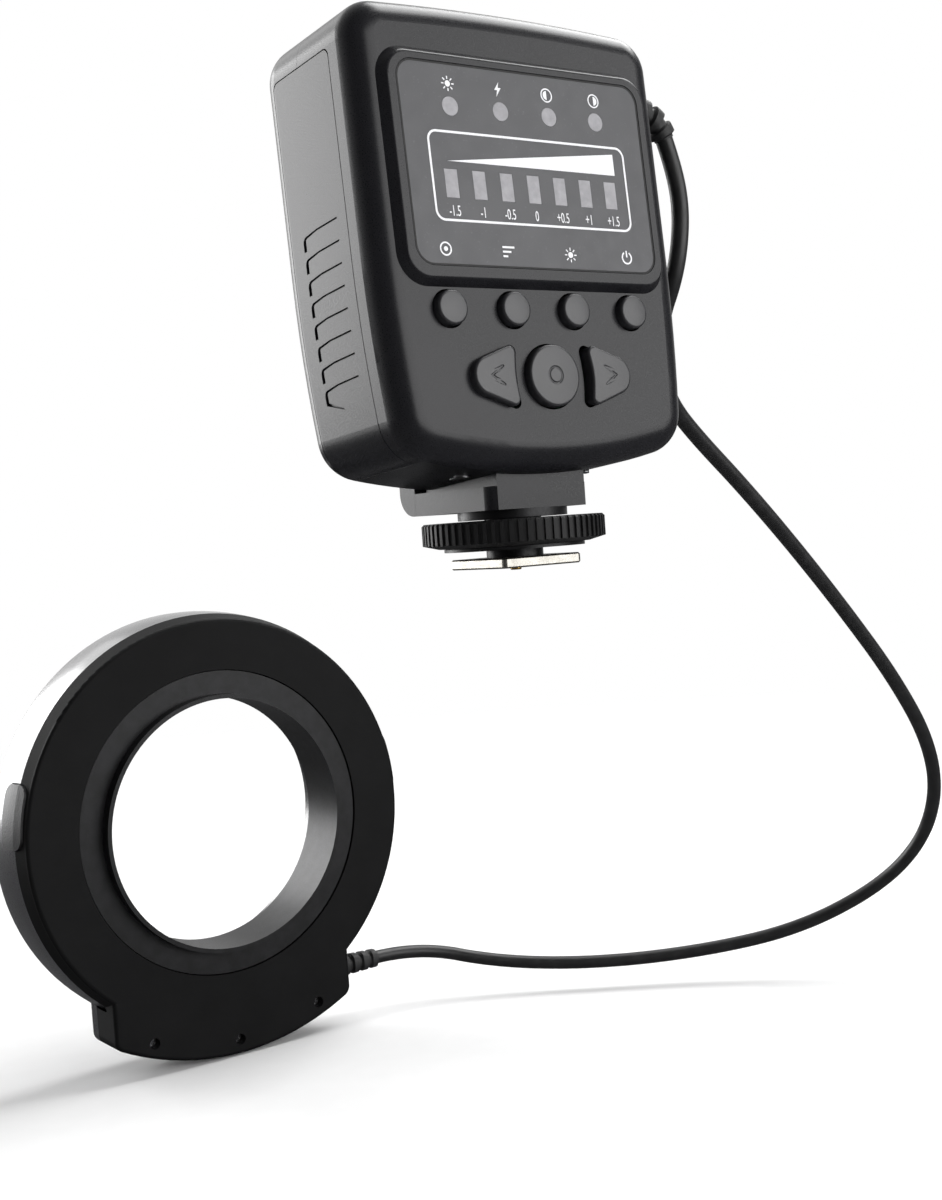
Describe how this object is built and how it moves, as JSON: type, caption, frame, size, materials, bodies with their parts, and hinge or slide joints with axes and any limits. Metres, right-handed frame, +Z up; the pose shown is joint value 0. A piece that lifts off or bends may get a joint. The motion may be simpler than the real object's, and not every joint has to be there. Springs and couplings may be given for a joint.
{
  "type": "macro ring flash",
  "caption": "Shoe-mounted flash control unit with a display and keys, joined by a free cord to a ring-shaped flash head on a threaded lens adapter ring.",
  "frame": {"origin": "middle of the underside of the accessory-shoe foot", "axes": "+X right as the viewer stands behind the unit, +Y forward along the lens axis, +Z up"},
  "size_m": [0.2239, 0.1723, 0.2288],
  "materials": {
    "case_plastic": "satin black moulded plastic",
    "display_print": "grey printed panel",
    "light_pipe": "translucent grey",
    "key_plastic": "soft black",
    "foot_metal": "bright nickel plate",
    "black_metal": "black anodised",
    "wheel_plastic": "ridged black",
    "screw_steel": "zinc plate",
    "contact_metal": "nickel plate",
    "pin_brass": "gold plate",
    "cord_rubber": "satin black",
    "board_laminate": "green solder mask",
    "component_plastic": "black",
    "lamp_resin": "clear resin over yellow",
    "tray_plastic": "black",
    "cell_sleeve": "plain grey sleeve",
    "capacitor_sleeve": "dark sleeve",
    "ring_plastic": "satin black moulded plastic",
    "ring_rear_plastic": "near-black moulded plastic",
    "button_plastic": "textured black",
    "window_acrylic": "frosted",
    "reflector_white": "white",
    "spring_steel": "spring wire"
  },
  "bodies": {
    "housing": {"rear_shell": "case_plastic", "front_shell": "case_plastic", "neck_bracket": "case_plastic", "display_overlay": "display_print", "status_windows": "light_pipe", "level_windows": "light_pipe", "control_board": "board_laminate", "driver_board": "board_laminate", "led_board": "board_laminate", "control_board_screws": "screw_steel", "key_switches": "component_plastic", "status_leds": "lamp_resin", "level_leds": "lamp_resin", "led_emitters": "lamp_resin", "storage_capacitors": "capacitor_sleeve", "battery_tray": "tray_plastic", "battery_cells": "cell_sleeve", "battery_contacts": "contact_metal", "case_screws": "screw_steel", "neck_screws": "screw_steel", "foot_screws": "screw_steel", "ring_screws": "screw_steel", "led_board_screws": "screw_steel", "foot_stem": "black_metal", "shoe_foot": "foot_metal", "contact_spring": "spring_steel", "cord_boot_controller": "cord_rubber", "cord": "cord_rubber", "cord_boot_ring": "cord_rubber", "ring_rear_cover": "ring_rear_plastic", "ring_front_cover": "ring_plastic", "ring_window_left": "window_acrylic", "ring_window_right": "window_acrylic", "ring_reflector": "reflector_white", "release_spring_left": "spring_steel", "release_spring_right": "spring_steel"},
    "pilot_key": {"pilot_key": "key_plastic"},
    "mode_key": {"mode_key": "key_plastic"},
    "light_key": {"light_key": "key_plastic"},
    "power_key": {"power_key": "key_plastic"},
    "down_key": {"down_key": "key_plastic"},
    "select_key": {"select_key": "key_plastic"},
    "up_key": {"up_key": "key_plastic"},
    "door": {"battery_door": "case_plastic", "door_contacts": "contact_metal"},
    "clamp": {"clamp_plate": "black_metal"},
    "wheel": {"locking_wheel": "wheel_plastic"},
    "contact_pin": {"contact_pin": "pin_brass"},
    "release_left": {"release_button_left": "button_plastic", "release_slider_left": "component_plastic"},
    "release_right": {"release_button_right": "button_plastic", "release_slider_right": "component_plastic"},
    "adapter": {"adapter_ring": "black_metal"}
  },
  "joints": [
    {"name": "pilot_key_press", "type": "slide", "parent": "housing", "child": "pilot_key", "axis": [0, 0.9966, -0.083], "range_m": [0, 0.0006], "stiffness_N_per_m": 1500, "springref_m": -0.0004},
    {"name": "mode_key_press", "type": "slide", "parent": "housing", "child": "mode_key", "axis": [0, 0.9966, -0.083], "range_m": [0, 0.0006], "stiffness_N_per_m": 1500, "springref_m": -0.0004},
    {"name": "light_key_press", "type": "slide", "parent": "housing", "child": "light_key", "axis": [0, 0.9966, -0.083], "range_m": [0, 0.0006], "stiffness_N_per_m": 1500, "springref_m": -0.0004},
    {"name": "power_key_press", "type": "slide", "parent": "housing", "child": "power_key", "axis": [0, 0.9966, -0.083], "range_m": [0, 0.0006], "stiffness_N_per_m": 1500, "springref_m": -0.0004},
    {"name": "down_key_press", "type": "slide", "parent": "housing", "child": "down_key", "axis": [0, 0.9966, -0.083], "range_m": [0, 0.0006], "stiffness_N_per_m": 1500, "springref_m": -0.0004},
    {"name": "select_key_press", "type": "slide", "parent": "housing", "child": "select_key", "axis": [0, 0.9966, -0.083], "range_m": [0, 0.0006], "stiffness_N_per_m": 1500, "springref_m": -0.0004},
    {"name": "up_key_press", "type": "slide", "parent": "housing", "child": "up_key", "axis": [0, 0.9966, -0.083], "range_m": [0, 0.0006], "stiffness_N_per_m": 1500, "springref_m": -0.0004},
    {"name": "battery_door_slide", "type": "slide", "parent": "housing", "child": "door", "axis": [0, -0.083, -0.9966], "range_m": [0, 0.008]},
    {"name": "clamp_slide", "type": "slide", "parent": "housing", "child": "clamp", "axis": [0, 0, 1], "range_m": [-0.0014, 0.0015]},
    {"name": "wheel_turn", "type": "hinge", "parent": "clamp", "child": "wheel", "pos_m": [0, 0, 0.0067], "axis": [0, 0, 1], "range_deg": [-504, 540]},
    {"name": "contact_pin_press", "type": "slide", "parent": "housing", "child": "contact_pin", "axis": [0, 0, 1], "range_m": [0, 0.0006], "stiffness_N_per_m": 600, "springref_m": -0.001, "deforming": ["contact_spring"]},
    {"name": "release_left_press", "type": "slide", "parent": "housing", "child": "release_left", "axis": [1, 0, 0], "range_m": [0, 0.002], "stiffness_N_per_m": 900, "springref_m": -0.002, "deforming": ["release_spring_left"]},
    {"name": "release_right_press", "type": "slide", "parent": "housing", "child": "release_right", "axis": [-1, 0, 0], "range_m": [0, 0.002], "stiffness_N_per_m": 900, "springref_m": -0.002, "deforming": ["release_spring_right"]},
    {"name": "adapter_turn", "type": "hinge", "parent": "housing", "child": "adapter", "pos_m": [0, 0.1382, -0.0638], "axis": [0, 1, 0], "continuous": true}
  ],
  "couplings": [
    {"joint": "clamp_slide", "follows": "wheel_turn", "m_per_rad": 0.00015915}
  ]
}
